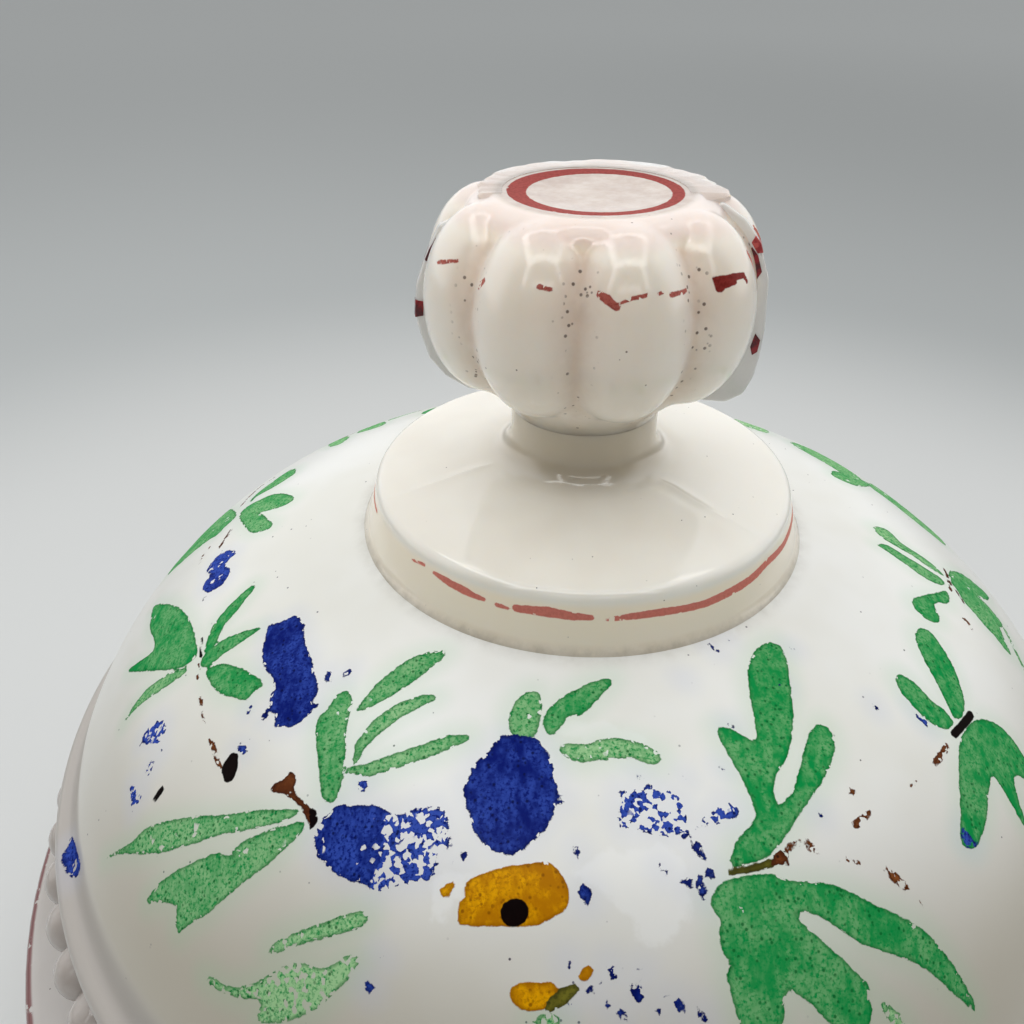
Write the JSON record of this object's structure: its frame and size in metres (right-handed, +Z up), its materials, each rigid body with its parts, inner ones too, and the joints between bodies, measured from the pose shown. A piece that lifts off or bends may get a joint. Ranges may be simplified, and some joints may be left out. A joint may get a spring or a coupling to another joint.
{
  "type": "covered box",
  "caption": "Round covered box of opaline glass: footed dish with a flange and pearled gallery, and a domed lift-off lid with a collar and melon knob.",
  "frame": {"origin": "centre of the foot ring, on the surface that the dish stands on", "axes": "+Z up along the axis that the dish and lid are turned about, +X to the right and +Y away from the viewer of the picture"},
  "size_m": [0.1512, 0.1512, 0.1379],
  "materials": {
    "dish_glass": "opaque milk-white pressed glass, glossy",
    "dome_glass": "opaque milk-white pressed glass with worn painted enamel flowers, glossy",
    "finial_glass": "warm milk-white pressed glass with worn red enamel lines, glossy"
  },
  "bodies": {
    "dish": {"dish": "dish_glass"},
    "lid": {"lid_dome": "dome_glass", "lid_finial": "finial_glass"}
  },
  "joints": [
    {"name": "lid_lift", "type": "slide", "parent": "dish", "child": "lid", "axis": [0, 0, 1], "range_m": [0, 0.08]}
  ]
}
